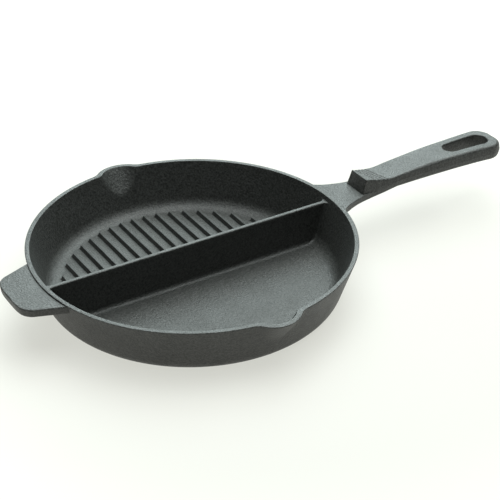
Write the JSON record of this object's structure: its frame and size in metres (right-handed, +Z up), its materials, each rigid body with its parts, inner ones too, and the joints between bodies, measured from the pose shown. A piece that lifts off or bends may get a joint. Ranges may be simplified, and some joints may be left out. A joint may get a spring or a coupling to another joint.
{
  "type": "divided grill pan",
  "caption": "Divided cast-iron pan with a ribbed grill side and a smooth side, pouring spouts, a helper tab and a long handle with a hanging slot.",
  "frame": {"origin": "centre of the bowl's flat underside, on the plane the pan rests on", "axes": "+X along the long handle, +Y towards the ribbed compartment, +Z up"},
  "size_m": [0.4548, 0.2762, 0.0541],
  "materials": {
    "casting": "matte seasoned sand-cast iron"
  },
  "bodies": {
    "root": {"grill_floor": "casting", "flat_floor": "casting", "divider": "casting", "helper_side_wall": "casting", "handle_side_wall": "casting", "rear_spout": "casting", "front_spout": "casting", "helper_handle": "casting", "handle_root": "casting", "handle_grip": "casting"}
  },
  "joints": []
}
